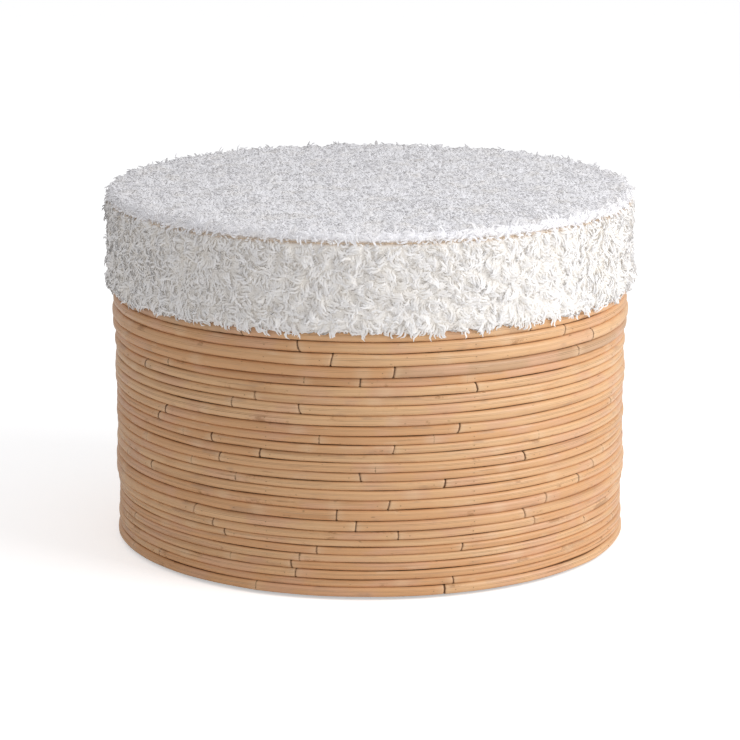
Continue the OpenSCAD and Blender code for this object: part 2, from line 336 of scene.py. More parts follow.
def cane_spans(node):
    """(start, end) of each length of cane in a course, in radians from +X."""
    mesh = frame["nodes"][node].data
    mesh.calc_loop_triangles()
    corners = np.empty(3 * len(mesh.loop_triangles), np.int32)
    mesh.loop_triangles.foreach_get("vertices", corners)
    co = vertices_of(mesh)
    angle = np.arctan2(co[:, 1], co[:, 0])[corners.reshape(-1, 3)]
    spread_out = (angle - angle[:, :1] + math.pi) % TURN - math.pi
    low = angle[:, 0] + spread_out.min(1)
    high = angle[:, 0] + spread_out.max(1)
    high -= np.floor(low / TURN) * TURN
    low %= TURN
    order = np.argsort(low)
    reach = np.maximum.accumulate(high[order])
    gaps = np.flatnonzero(low[order][1:] > reach[:-1] + 1e-4)
    starts, ends = low[order][gaps + 1], reach[gaps]
    return list(zip(starts, [*ends[1:], ends[0] + TURN]))

def ring_of(node):
    """A course's gauge, the radius of its centre line and its height."""
    co = vertices_of(frame["nodes"][node].data)
    gauge = co[:, 2].max() - co[:, 2].min()
    return gauge, np.hypot(co[:, 0], co[:, 1]).max() - gauge / 2, co[:, 2].mean()

COURSES = sorted(n for n in frame["nodes"] if n.startswith("cane_course_"))
spans = {n: cane_spans(n) for n in COURSES}
print(len(COURSES), "courses,", sum(len(s) for s in spans.values()), "lengths of cane")

# %% [markdown]
# A cane's node tree: the lines become curves, a slightly squared circle is swept along them at
# the thickness that each point carries, and near each end the surface is pushed along the ring
# in proportion to its height, so that two ends meet in a slanting cut.

# %% The node tree of a course
def cane_tree():
    tree, given, result = group("cane course", "GeometryNodeTree",
        [("Geometry", "Geometry"), ("Sides", "Int", 14), ("Squareness", "Float", 0.2),
         ("Height", "Float"), ("Material", "Material")], [("Geometry", "Geometry")])
    circle = put(tree, "GeometryNodeCurvePrimitiveCircle", {"Resolution": given["Sides"], "Radius": 1.0})
    factor = put(tree, "GeometryNodeSplineParameter")
    circle = put(tree, "GeometryNodeStoreNamedAttribute", {0: circle, "Name": "around", "Value": factor},
                 data_type="FLOAT", domain="POINT")
    here = put(tree, "GeometryNodeInputPosition")
    parts = tree.nodes.new("ShaderNodeSeparateXYZ")
    tree.links.new(here, parts.inputs[0])
    both = maths(tree, "MULTIPLY", parts.outputs[0], parts.outputs[1])
    corner = maths(tree, "MULTIPLY", maths(tree, "ABSOLUTE", both), given["Squareness"])
    circle = put(tree, "GeometryNodeSetPosition", {0: circle, "Offset": scaled(tree, here, corner)})
    line = put(tree, "GeometryNodeMeshToCurve", {0: given["Geometry"]})
    line = put(tree, "GeometryNodeSetCurveNormal", {0: line}, mode="Z_UP")
    girth = put(tree, "GeometryNodeInputNamedAttribute", {"Name": "girth"}, data_type="FLOAT")
    swept = put(tree, "GeometryNodeCurveToMesh",
                {"Curve": line, "Profile Curve": circle, "Scale": girth, "Fill Caps": True})
    at = tree.nodes.new("ShaderNodeSeparateXYZ")
    tree.links.new(put(tree, "GeometryNodeInputPosition"), at.inputs[0])
    lean = put(tree, "GeometryNodeInputNamedAttribute", {"Name": "lean"}, data_type="FLOAT")
    above = maths(tree, "SUBTRACT", at.outputs[2], given["Height"])
    back = maths(tree, "MULTIPLY", at.outputs[1], -1.0)
    tangent = vectors(tree, "NORMALIZE", point(tree, back, at.outputs[0], 0.0))
    push = scaled(tree, tangent, maths(tree, "MULTIPLY", above, lean))
    leaning = put(tree, "GeometryNodeSetPosition", {0: swept, "Offset": push})
    smooth = put(tree, "GeometryNodeSetShadeSmooth", {0: leaning, "Shade Smooth": True})
    real = put(tree, "GeometryNodeRealizeInstances", {0: smooth})
    dressed = put(tree, "GeometryNodeSetMaterial", {0: real, "Material": given["Material"]})
    tree.links.new(dressed, result.inputs[0])
    return tree

CANE_TREE = cane_tree()

# %% [markdown]
# A tree is run by a modifier on a seed mesh. Its result is kept as a plain mesh and the modifier
# is taken off again, so what is left is ordinary geometry that any tool can read.

# %% Helpers that run a node tree and keep its result
def object_of(name, mesh):
    made = bpy.data.objects.new(name, mesh)
    bpy.context.scene.collection.objects.link(made)
    return made

def grown(name, seed_mesh, tree, **inputs):
    """Runs a node tree on a mesh and keeps the result. Inputs are named with _ for a space."""
    made = object_of(name, seed_mesh)
    modifier = made.modifiers.new("nodes", "NODES")
    modifier.node_group = tree
    for item in tree.interface.items_tree:
        label = item.name.replace(" ", "_")
        if item.in_out == "INPUT" and label in inputs:
            modifier[item.identifier] = inputs[label]
    evaluated = made.evaluated_get(bpy.context.evaluated_depsgraph_get())
    plain = bpy.data.meshes.new_from_object(evaluated)
    made.modifiers.remove(modifier)
    made.data = plain
    bpy.data.meshes.remove(seed_mesh)
    return made

def mesh_of(name, points, edges=(), faces=(), **attributes):
    """A mesh with float attributes on its points."""
    mesh = bpy.data.meshes.new(name)
    mesh.from_pydata([tuple(p) for p in points], edges, faces)
    for label, values in attributes.items():
        made = mesh.attributes.new(label, "FLOAT", "POINT")
        made.data.foreach_set("value", np.asarray(values, np.float32))
    return mesh

# %% [markdown]
# Now the lines are drawn and swept. Points lie closer together near a cane's ends, where its
# surface bends most. A cane swells a little at its nodes, its sawn edge is worn round, and the
# pins near its ends hold it in line, so it strays from its course only between them.

# %% Draw each length of cane and sweep it
END_STEPS = np.array([0, 0.5, 1.2, 2.5, 4.5]) * MM     # closer points at a cane's ends
STEP = 6 * MM
HELD = 30 * MM                  # this near an end a cane has no node and hardly strays
STRAY = 0.5 * MM                # how far it strays from its course elsewhere
LEAN, LEAN_REACH = 0.3, 18 * MM     # how much a cut slants, and how far in that bends the surface
FACTS = ("girth", "along", "to_end", "cane", "lean", "to_ring")

def wander(random, distance, wavelength, size):
    """A smooth random line: three waves of falling size, at any distance along it."""
    turns = distance / wavelength * TURN
    waves = sum(np.sin(turns * k + random.uniform(0, TURN)) / k for k in (1, 2.3, 4.1))
    return waves * size / 2

def cane_points(random, start, end, gauge, radius, height):
    """The points of one length of cane and what they carry."""
    length = (end - start) * radius
    middle = np.linspace(END_STEPS[-1], length - END_STEPS[-1], max(2, int(length / STEP)))
    along = np.concatenate([END_STEPS[:-1], middle, length - END_STEPS[-2::-1]])
    to_end = np.minimum(along, length - along)
    rings = np.cumsum(random.uniform(0.11, 0.34, 12))
    rings = rings[(rings > HELD) & (rings < length - HELD)]
    to_ring = np.abs(along[:, None] - rings).min(1) if len(rings) else np.full(len(along), 1.0)
    swell = 0.035 * np.exp(-(to_ring / (4 * MM)) ** 2)
    rounding = 0.12 * np.exp(-(to_end / (0.7 * MM)) ** 2)
    girth = gauge / 2 * (1.0 + wander(random, along, 0.31, 0.05) + swell - rounding)
    angle = start + along / radius
    free = np.clip(to_end / HELD, 0, 1)
    out = radius + wander(random, along, 0.23, STRAY) * free
    z = height + wander(random, along, 0.37, STRAY) * free
    co = np.stack([np.cos(angle) * out, np.sin(angle) * out, z], 1)
    return co, {"girth": girth, "along": along, "to_end": to_end, "to_ring": to_ring}

def cane_course(node, number):
    """One course: its lengths of cane drawn, joined in one mesh and swept."""
    random = np.random.default_rng(100 + number)
    gauge, radius, height = ring_of(node)
    rows, edges, carry = [], [], {label: [] for label in FACTS}
    leans = [random.uniform(-LEAN, LEAN) for _ in spans[node]]
    offset = 0
    for k, (start, end) in enumerate(spans[node]):
        co, facts = cane_points(random, start, end, gauge, radius, height)
        count = len(co)
        near_start = np.arange(count) < count / 2
        fade = np.clip(1 - facts["to_end"] / LEAN_REACH, 0, 1)
        facts["lean"] = np.where(near_start, leans[k - 1], leans[k]) * fade
        facts["cane"] = np.full(count, random.uniform())
        facts["along"] = facts["along"] + 3.1 * k      # no two canes share a stretch of pattern
        rows.append(co)
        edges += [(offset + i, offset + i + 1) for i in range(count - 1)]
        offset += count
        for label in FACTS:
            carry[label].append(facts[label])
    joined = {label: np.concatenate(values) for label, values in carry.items()}
    seed = mesh_of(node, np.concatenate(rows), edges, **joined)
    piece = grown("canes_" + node[-2:], seed, CANE_TREE, Height=height, Material=RATTAN)
    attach(piece, "drum")
    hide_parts(node)
    return piece

canes = [cane_course(node, i) for i, node in enumerate(COURSES)]
print("canes:", sum(len(c.data.polygons) for c in canes), "faces")
print("attributes:", [a.name for a in canes[0].data.attributes])

# %% [markdown]
# ## The stuffed cover
#
# The cover is two pieces of long-pile cloth: a round top panel that rolls over the edge of the
# pad, and a side band sewn to it in a seam that runs round the shoulder. The band's lower edge
# is turned in under the board. Foam pushes both outwards, so the cloth bulges between the
# places that hold it. A solid with the cover's outline, shrunk by the depth of the pile, is
# remeshed into even faces and blown up by the cloth simulation, and every point's movement is
# capped. The seam is pressed in afterwards, because a remesh would lose it.

# %% Outline of the cover's cloth
band_low, band_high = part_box("cover_side_band")
panel_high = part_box("cover_top_panel")[1]
board_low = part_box("lid_board")[0]
LID_R = band_high.x
LID_TOP = panel_high.z
SEAM_Z = band_high.z
HEM_Z = band_low.z
FLANGE_Z = board_low.z - 2.2 * MM          # underside of the turned-in edge
FLANGE_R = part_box("dust_cover")[1].x + 1 * MM
SIDE_PILE = 6 * MM                         # how far the pile stands out of the cloth
TOP_PILE = 2.5 * MM
CLOTH_R = LID_R - SIDE_PILE
CLOTH_TOP = LID_TOP - TOP_PILE + 1 * MM

def arc(centre_r, centre_z, radius, start, end, steps):
    angles = np.radians(np.linspace(start, end, steps))
    return [(centre_r + radius * math.cos(a), centre_z + radius * math.sin(a)) for a in angles]

def cover_outline():
    """The closed pad's outline as (radius, height), from under its middle round to its top."""
    roll, hem, hang = 4 * MM, 5 * MM, 4 * MM        # pile that hangs below the cloth takes up hang
    return [(0, FLANGE_Z),
            *arc(CLOTH_R - hem, HEM_Z + hem + hang, hem, -90, 0, 5),
            *arc(CLOTH_R - roll, CLOTH_TOP - roll, roll, 0, 90, 8), (0, CLOTH_TOP)]

def lathed(name, outline, count=240):
    """Turns an outline about the Z axis into a closed mesh. Points on the axis are made one."""
    bm = bmesh.new()
    rings = []
    turned = np.linspace(0, TURN, count, False)
    for r, z in outline:
        if r < 1e-6:
            rings.append([bm.verts.new((0, 0, z))] * count)
        else:
            rings.append([bm.verts.new((r * math.cos(a), r * math.sin(a), z)) for a in turned])
    for lower, upper in zip(rings, rings[1:]):
        for i in range(count):
            corners = [lower[i - 1], lower[i], upper[i], upper[i - 1]]
            corners = sorted(set(corners), key=corners.index)
            if len(corners) > 2:
                bm.faces.new(corners)
    bmesh.ops.recalc_face_normals(bm, faces=bm.faces)
    mesh = bpy.data.meshes.new(name)
    bm.to_mesh(mesh)
    bm.free()
    return object_of(name, mesh)

# %% [markdown]
# The simulation is let run for a few frames and then applied, and each point's movement is cut
# back to what the real cloth could do there: nothing where staples hold it, a few millimetres
# elsewhere.

# %% Blow the pad up
VOXEL = 6 * MM

def remeshed(made, voxel):
    modifier = made.modifiers.new("even faces", "REMESH")
    modifier.mode = "VOXEL"
    modifier.voxel_size = voxel
    settle(made)

def settle(made):
    """Applies the modifiers of an object by taking its evaluated mesh."""
    evaluated = made.evaluated_get(bpy.context.evaluated_depsgraph_get())
    plain = bpy.data.meshes.new_from_object(evaluated)
    made.modifiers.clear()
    made.data = plain

def blow_up(made, pressure, cap, frames=20):
    """Cloth with pressure and no gravity. cap(points) says how far each point may move."""
    start = vertices_of(made.data)
    cloth = made.modifiers.new("blow up", "CLOTH")
    cloth.settings.use_pressure = True
    cloth.settings.uniform_pressure_force = pressure
    cloth.settings.effector_weights.gravity = 0
    cloth.settings.quality = 5
    cloth.point_cache.frame_start, cloth.point_cache.frame_end = 1, frames
    for frame_number in range(1, frames + 1):
        bpy.context.scene.frame_set(frame_number)
    settle(made)
    bpy.context.scene.frame_set(1)
    moved = vertices_of(made.data) - start
    size = np.linalg.norm(moved, axis=1)
    allowed = cap(start)
    shrink = np.minimum(1, allowed / np.maximum(size, 1e-9))
    put_back(made.data, start + moved * shrink[:, None])
    print(made.name, "moved", round(size.max() / MM, 1), "mm, capped to", round(allowed.max() / MM, 1))

def put_back(mesh, points):
    mesh.vertices.foreach_set("co", np.asarray(points, np.float32).ravel())
    mesh.update()

def pad_cap(points):
    """The underside is held by staples and doesn't move; the crown may rise most in the middle."""
    held = np.clip((points[:, 2] - HEM_Z - 8 * MM) / (20 * MM), 0, 1)
    radius = np.hypot(points[:, 0], points[:, 1])
    on_top = 1.5 * MM + 2 * MM * np.clip(1 - radius / CLOTH_R, 0, 1)
    crown = np.where(points[:, 2] > SEAM_Z, on_top, 2.5 * MM)
    return crown * held

pad = lathed("pad", cover_outline())
remeshed(pad, VOXEL)
print("pad:", len(pad.data.vertices), "points")
blow_up(pad, pressure=4, cap=pad_cap)

# %% [markdown]
# Now the seam is pressed in, the middle of the underside is opened where the board shows, and
# the cloth is cut into its two pieces along the seam.

# %% Press in the seam and cut the cloth
PINCH, PINCH_WIDTH = 3 * MM, 3 * MM

def pinch(points):
    """Draws the cloth in along the seam, as the stitches do."""
    radius = np.hypot(points[:, 0], points[:, 1])
    near = np.exp(-((points[:, 2] - SEAM_Z) / PINCH_WIDTH) ** 2)
    depth = PINCH * near * (radius > CLOTH_R - 25 * MM)
    shrink = 1 - depth / np.maximum(radius, 1e-6)
    return points * np.stack([shrink, shrink, np.ones(len(points))], 1)

put_back(pad.data, pinch(vertices_of(pad.data)))

def cut(source, name, keep):
    """A copy of the faces whose middle keep() accepts."""
    bm = bmesh.new()
    bm.from_mesh(source.data)
    spare = [f for f in bm.faces if not keep(f.calc_center_median())]
    bmesh.ops.delete(bm, geom=spare, context="FACES")
    mesh = bpy.data.meshes.new(name)
    bm.to_mesh(mesh)
    bm.free()
    return object_of(name, mesh)

def in_panel(p):
    return p.z > SEAM_Z

def in_band(p):
    return p.z <= SEAM_Z and not (math.hypot(p.x, p.y) < FLANGE_R and p.z < FLANGE_Z + 3 * MM)

panel = cut(pad, "cover_panel", in_panel)
band = cut(pad, "cover_band", in_band)
bpy.data.objects.remove(pad)
print("panel:", len(panel.data.polygons), "faces; band:", len(band.data.polygons), "faces")

# %% [markdown]
# ## Wool
#
# The pile is curly wool in locks: neighbouring hairs lean the same way, bend over towards the
# cloth, twist and come together at their tips. On the side the locks are long and hang down,
# swept now to one side and now to the other; on top they are short and felted by use. A hair
# system would not survive the export, so Geometry Nodes grow strands instead, each of which
# stands for a small tuft of hairs. Every root is a point scattered on the cloth, and it
# remembers the cloth's normal there, the middle of its lock and its lock's own numbers.

# %% What a strand carries, and where the roots lie
def named(tree, name, kind="FLOAT"):
    return put(tree, "GeometryNodeInputNamedAttribute", {"Name": name}, data_type=kind)

def stored(tree, geometry, name, value, kind="FLOAT"):
    return put(tree, "GeometryNodeStoreNamedAttribute", {0: geometry, "Name": name, "Value": value},
               data_type=kind, domain="POINT")

def chance(tree, seed):
    """A random value from 0 to 1 for each root."""
    node = tree.nodes.new("FunctionNodeRandomValue")
    node.data_type = "FLOAT"
    node.inputs[2].default_value, node.inputs[3].default_value = 0, 1
    tree.links.new(seed, node.inputs["Seed"])
    return node.outputs[1]

def dot(tree, one, other):
    return put(tree, "ShaderNodeVectorMath", {0: one, 1: other}, out=1, operation="DOT_PRODUCT")

def scatter_on(tree, given):
    """Points on the part of the cloth that lies between the two angles, spaced apart."""
    where = tree.nodes.new("ShaderNodeSeparateXYZ")
    tree.links.new(put(tree, "GeometryNodeInputPosition"), where.inputs[0])
    angle = maths(tree, "ARCTAN2", where.outputs[1], where.outputs[0])
    inside = maths(tree, "MULTIPLY", maths(tree, "GREATER_THAN", angle, given["Low angle"]),
                   maths(tree, "LESS_THAN", angle, given["High angle"]))
    density = maths(tree, "DIVIDE", 1.5, maths(tree, "MULTIPLY", given["Spacing"], given["Spacing"]))
    scatter = tree.nodes.new("GeometryNodeDistributePointsOnFaces")
    scatter.distribute_method = "POISSON"
    for label, value in (("Mesh", given["Geometry"]), ("Selection", inside), ("Seed", given["Seed"]),
                         ("Distance Min", given["Spacing"]), ("Density Max", density),
                         ("Density Factor", named(tree, "pile"))):
        tree.links.new(value, scatter.inputs[label])
    return scatter.outputs["Points"], scatter.outputs["Normal"]

def wool_roots(tree, given):
    """The roots, with the pull towards the middle of their lock and three numbers of that lock."""
    roots, normal = scatter_on(tree, given)
    root = put(tree, "GeometryNodeInputPosition")
    cells = tree.nodes.new("ShaderNodeTexVoronoi")
    tree.links.new(root, cells.inputs["Vector"])
    tree.links.new(maths(tree, "DIVIDE", 1.0, given["Lock size"]), cells.inputs["Scale"])
    pull = vectors(tree, "SUBTRACT", cells.outputs["Position"], root)
    pull = vectors(tree, "SUBTRACT", pull, scaled(tree, normal, dot(tree, pull, normal)))
    lock = tree.nodes.new("FunctionNodeSeparateColor")
    tree.links.new(cells.outputs["Color"], lock.inputs[0])
    hair = chance(tree, maths(tree, "ADD", given["Seed"], 1.0))
    for name, value, kind in (("root", root, "FLOAT_VECTOR"), ("up", normal, "FLOAT_VECTOR"),
                              ("pull", pull, "FLOAT_VECTOR"), ("lock_a", lock.outputs[0], "FLOAT"),
                              ("lock_b", lock.outputs[1], "FLOAT"), ("lock_c", lock.outputs[2], "FLOAT"),
                              ("hair", hair, "FLOAT")):
        roots = stored(tree, roots, name, value, kind)
    return roots

# %% [markdown]
# A strand is an arc that starts near the cloth's normal and bends over along the combed
# direction. A corkscrew is added to it, and it is pulled towards the middle of its lock. What
# the whole lock shares, such as how far it leans aside, comes from the lock's own numbers, and
# each strand differs a little from its neighbours.

# %% Where the points of a strand go
def centred(tree, value, size):
    """A value from 0 to 1 made -size to size."""
    return maths(tree, "MULTIPLY", maths(tree, "SUBTRACT", value, 0.5), maths(tree, "MULTIPLY", size, 2.0))

def hair_ways(tree, given, up):
    """The way the strand bends, and the way beside it."""
    comb = named(tree, "comb", "FLOAT_VECTOR")
    side = vectors(tree, "NORMALIZE", vectors(tree, "CROSS_PRODUCT", up, comb))
    sway = maths(tree, "ADD", centred(tree, named(tree, "lock_a"), given["Stray"]),
                 centred(tree, named(tree, "hair"), 0.25))
    way = summed(tree, scaled(tree, comb, maths(tree, "COSINE", sway)),
                 scaled(tree, side, maths(tree, "SINE", sway)))
    return way, vectors(tree, "CROSS_PRODUCT", up, way)

def hair_arc(tree, given, t):
    """How high above the cloth and how far along it the strand has come at t."""
    flat = maths(tree, "SUBTRACT", 1.0, named(tree, "lift"))
    first = maths(tree, "ADD", given["Rise from"], centred(tree, named(tree, "lock_b"), 0.35))
    rise = maths(tree, "MULTIPLY", flat, first)
    last = maths(tree, "ADD", given["Bend to"], centred(tree, named(tree, "lock_c"), 0.4))
    bend = maths(tree, "SUBTRACT", last, rise)
    now = maths(tree, "MULTIPLY_ADD", bend, t, rise)
    length = maths(tree, "MULTIPLY", given["Length"], named(tree, "pile"))
    own = maths(tree, "ADD", 1.0, centred(tree, named(tree, "hair"), 0.25))
    length = maths(tree, "MULTIPLY", length, own)
    per = maths(tree, "DIVIDE", length, bend)
    climbed = maths(tree, "SUBTRACT", maths(tree, "SINE", now), maths(tree, "SINE", rise))
    gone = maths(tree, "SUBTRACT", maths(tree, "COSINE", rise), maths(tree, "COSINE", now))
    return maths(tree, "MULTIPLY", per, climbed), maths(tree, "MULTIPLY", per, gone)

def hair_place(tree, given, t, up, way, beside):
    """The arc from the root, with the corkscrew and the pull of the lock."""
    high, far = hair_arc(tree, given, t)
    phase = maths(tree, "ADD", maths(tree, "MULTIPLY", named(tree, "lock_b"), TURN),
                  maths(tree, "MULTIPLY", named(tree, "hair"), 1.2))
    turn = maths(tree, "MULTIPLY_ADD", maths(tree, "MULTIPLY", t, given["Twists"]), TURN, phase)
    curl = maths(tree, "MULTIPLY", given["Curl"], maths(tree, "POWER", t, 0.7))
    aside = maths(tree, "MULTIPLY", curl, maths(tree, "SINE", turn))
    upward = maths(tree, "MULTIPLY", maths(tree, "MULTIPLY", curl, 0.6), maths(tree, "COSINE", turn))
    gather = maths(tree, "MULTIPLY", given["Gather"], t)
    return summed(tree, named(tree, "root", "FLOAT_VECTOR"), scaled(tree, up, high), scaled(tree, way, far),
                  scaled(tree, beside, aside), scaled(tree, up, upward),
                  scaled(tree, named(tree, "pull", "FLOAT_VECTOR"), gather))

# %% [markdown]
# The strand is swept with a flat triangle that gets thinner towards its tip, which makes a dozen
# or so faces. So few faces shade harshly, and real wool scatters light inside the lock. So each
# strand's normals are turned most of the way towards the cloth's own, and it shades as a soft
# surface does. The tree's inputs are what tells the long wool from the short.

# %% Sweep the strands and finish the tree
def wool_sweep(tree, given, hairs, t, up, beside):
    outwards = vectors(tree, "CROSS_PRODUCT", put(tree, "GeometryNodeInputTangent"), beside)
    outwards = vectors(tree, "NORMALIZE", outwards)
    hairs = put(tree, "GeometryNodeSetCurveNormal", {0: hairs, "Normal": outwards}, mode="FREE")
    triangle = put(tree, "GeometryNodeCurvePrimitiveCircle", {"Resolution": 3, "Radius": 1.0})
    flat = {0: triangle, "Rotation": (0, 0, math.pi), "Scale": (0.6, 1, 1)}
    triangle = put(tree, "GeometryNodeTransform", flat)
    blunt = maths(tree, "SQRT", maths(tree, "SUBTRACT", 1.03, maths(tree, "POWER", t, 3.0)))
    thick = maths(tree, "MULTIPLY", given["Thickness"], blunt)
    swept = put(tree, "GeometryNodeCurveToMesh",
                {"Curve": hairs, "Profile Curve": triangle, "Scale": thick, "Fill Caps": True})
    smooth = put(tree, "GeometryNodeSetShadeSmooth", {0: swept, "Shade Smooth": True})
    own = put(tree, "GeometryNodeInputNormal")
    share = maths(tree, "MULTIPLY", spread(tree, dot(tree, own, up), -0.6, 0.7), given["Softness"])
    soft = summed(tree, scaled(tree, own, maths(tree, "SUBTRACT", 1.0, share)), scaled(tree, up, share))
    soft = {0: smooth, "Custom Normal": vectors(tree, "NORMALIZE", soft)}
    return put(tree, "GeometryNodeSetMeshNormal", soft, mode="FREE", domain="POINT")

WOOL_INPUTS = [
    ("Geometry", "Geometry"), ("Spacing", "Float", 0.003), ("Length", "Float", 0.015),
    ("Rise from", "Float", 0.6), ("Bend to", "Float", 2.0), ("Curl", "Float", 0.0015),
    ("Twists", "Float", 1.5), ("Lock size", "Float", 0.008), ("Gather", "Float", 0.6),
    ("Stray", "Float", 0.5), ("Thickness", "Float", 0.0006), ("Softness", "Float", 0.8),
    ("Points", "Int", 6), ("Low angle", "Float"), ("High angle", "Float"), ("Seed", "Int"),
    ("Material", "Material")]

def wool_tree():
    tree, given, result = group("wool", "GeometryNodeTree", WOOL_INPUTS, [("Geometry", "Geometry")])
    line = put(tree, "GeometryNodeCurvePrimitiveLine", {"Start": (0, 0, 0), "End": (0, 0, MM)})
    line = put(tree, "GeometryNodeResampleCurve", {"Curve": line, "Count": given["Points"]})
    planted = {"Points": wool_roots(tree, given), "Instance": line}
    hairs = put(tree, "GeometryNodeInstanceOnPoints", planted)
    hairs = put(tree, "GeometryNodeRealizeInstances", {0: hairs})
    up, t = named(tree, "up", "FLOAT_VECTOR"), put(tree, "GeometryNodeSplineParameter")
    way, beside = hair_ways(tree, given, up)
    bent = {0: hairs, "Position": hair_place(tree, given, t, up, way, beside)}
    hairs = put(tree, "GeometryNodeSetPosition", bent)
    hairs = stored(tree, hairs, "tip", t)
    made = wool_sweep(tree, given, hairs, t, up, beside)
    for name in ("root", "up", "pull", "comb", "lock_b", "lock_c", "pile", "lift"):
        made = put(tree, "GeometryNodeRemoveAttribute", {0: made, "Name": name})
    real = put(tree, "GeometryNodeRealizeInstances", {0: made})
    dressed = put(tree, "GeometryNodeSetMaterial", {0: real, "Material": given["Material"]})
    tree.links.new(dressed, result.inputs[0])
    return tree

WOOL_TREE = wool_tree()

# %% [markdown]
# Fleece is close to white, yellower in patches, and some of its locks are greasier. Its roots
# are painted warmer and darker than its tips, partly as wool yellows there and partly as painted
# shade deep in the pile. Along the seam, where the pile parts, it is painted tan low down: painted
# shade in the crease. Light goes into the locks and comes out softened: most of a lamp's light
# passes a strand on its way to the next, and a little shines through it. A faint painted glow of
# the wool's own stands for what scatters inside. Top and side are the same wool; the top is
# painted paler and bluer than the side, for the cool light from above.

# %% Fleece
SEAM_SHADE, YELLOWED, GREASY = (0.72, 0.58, 0.45), (0.92, 0.88, 0.80), (0.95, 0.92, 0.87)

def fleece(name, root_colour, tip_colour, shines_through=0.08, lamp_passes=0.8):
    # The faint emission is a painted glow that stands in for light scattered inside the locks.
    made, tree, shader = material(
        name, Roughness=0.85, Specular_IOR_Level=0.2, Sheen_Weight=0.3, Sheen_Roughness=0.5,
        Emission_Color=(0.93, 0.88, 0.84, 1), Emission_Strength=0.08)
    at, tip = place(tree), carried(tree, "tip")
    # Roots are warmer and darker than tips: partly yellowed wool, partly painted shade deep in the pile.
    tone = tint(tree, spread(tree, tip, 0.0, 0.8), root_colour, tip_colour)
    height = put(tree, "ShaderNodeSeparateXYZ", {0: at}, out=2)
    # Near the seam and low in the pile the wool is painted tan: painted shade in the seam's crease.
    from_seam = maths(tree, "ABSOLUTE", maths(tree, "SUBTRACT", height, SEAM_Z))
    near_seam = spread(tree, from_seam, 1 * MM, 3.5 * MM, 1, 0)
    near_root = spread(tree, tip, 0.1, 0.5, 0.7, 0)
    tone = tint(tree, maths(tree, "MULTIPLY", near_seam, near_root), tone, SEAM_SHADE)
    patches = spread(tree, noise(tree, at, 34.0, 3.0), 0.5, 0.75, 0, 0.35)
    tone = tint(tree, patches, tone, YELLOWED, "MULTIPLY")
    some_locks = spread(tree, carried(tree, "lock_a"), 0.6, 1.0, 0, 0.3)
    tone = tint(tree, some_locks, tone, GREASY, "MULTIPLY")
    tree.links.new(tone, shader.inputs["Base Color"])
    through = put(tree, "ShaderNodeBsdfTranslucent", {"Color": tone})
    wool = put(tree, "ShaderNodeMixShader", {0: shines_through, 1: shader.outputs[0], 2: through})
    clear = put(tree, "ShaderNodeBsdfTransparent")
    thin = put(tree, "ShaderNodeMixShader", {0: lamp_passes, 1: wool, 2: clear})
    lamps = put(tree, "ShaderNodeLightPath", out=1)
    both = put(tree, "ShaderNodeMixShader", {0: lamps, 1: wool, 2: thin})
    tree.links.new(both, tree.nodes["Material Output"].inputs["Surface"])
    return made

# The top wool is painted paler and bluer than the side: painted light, the cool light from above.
TOP_WOOL = fleece("short fleece", (0.93, 0.93, 0.96), (0.955, 0.95, 0.975))
SIDE_WOOL = fleece("long fleece", (0.87, 0.84, 0.80), (0.90, 0.89, 0.89))

# %% [markdown]
# Before wool can grow, the cloth needs combing. Each point of it is told which way the hair is
# combed there, how long it is as a share of its full length, and how upright it starts. On the
# band the hair hangs and swings from side to side; on the panel it lies every way in the middle
# and outwards at the edge; and where the two meet at the seam it is worn short.

# %% Comb the cloth
def smooth_noise(points, size, seed):
    """A smooth random field on points, about -1 to 1: a few waves in random directions."""
    random = np.random.default_rng(seed)
    total = np.zeros(len(points))
    for _ in range(7):
        direction = random.normal(size=3)
        direction *= TURN / size / np.linalg.norm(direction) * random.uniform(0.6, 1.6)
        total += np.sin(points @ direction + random.uniform(0, TURN))
    return total / 2.6

def normals_of(mesh):
    flat = np.empty(3 * len(mesh.vertices), np.float32)
    mesh.vertices.foreach_get("normal", flat)
    return flat.reshape(-1, 3).astype(float)

def unit(v):
    return v / np.maximum(np.linalg.norm(v, axis=1, keepdims=True), 1e-9)

def comb_cloth(mesh, direction, length, lift):
    """Writes the combed direction, laid flat on the cloth, the pile's length, and how upright it is."""
    normal = normals_of(mesh)
    flat = unit(direction - normal * (direction * normal).sum(1, keepdims=True))
    for label, kind, field, values in (("comb", "FLOAT_VECTOR", "vector", flat),
                                       ("pile", "FLOAT", "value", length),
                                       ("lift", "FLOAT", "value", lift)):
        made = mesh.attributes.new(label, kind, "POINT")
        made.data.foreach_set(field, values.astype(np.float32).ravel())

PARTED_AT, PARTED_WIDTH = math.radians(-98), math.radians(32)    # the side that is used most

def parting(points):
    """The pile is worn short where it parts over the seam, most on the side that is used."""
    near = np.exp(-((points[:, 2] - SEAM_Z) / (3.5 * MM)) ** 2)
    away = (np.arctan2(points[:, 1], points[:, 0]) - PARTED_AT + math.pi) % TURN - math.pi
    used = np.exp(-(away / PARTED_WIDTH) ** 2)
    return 1 - near * np.clip(0.05 + 0.5 * used + 0.2 * smooth_noise(points, 0.12, 11), 0, 0.65)

def ways_of(points):
    """The way outwards and the way round the drum, at each point."""
    out = unit(points * (1, 1, 0))
    return out, np.stack([-out[:, 1], out[:, 0], np.zeros(len(points))], 1)

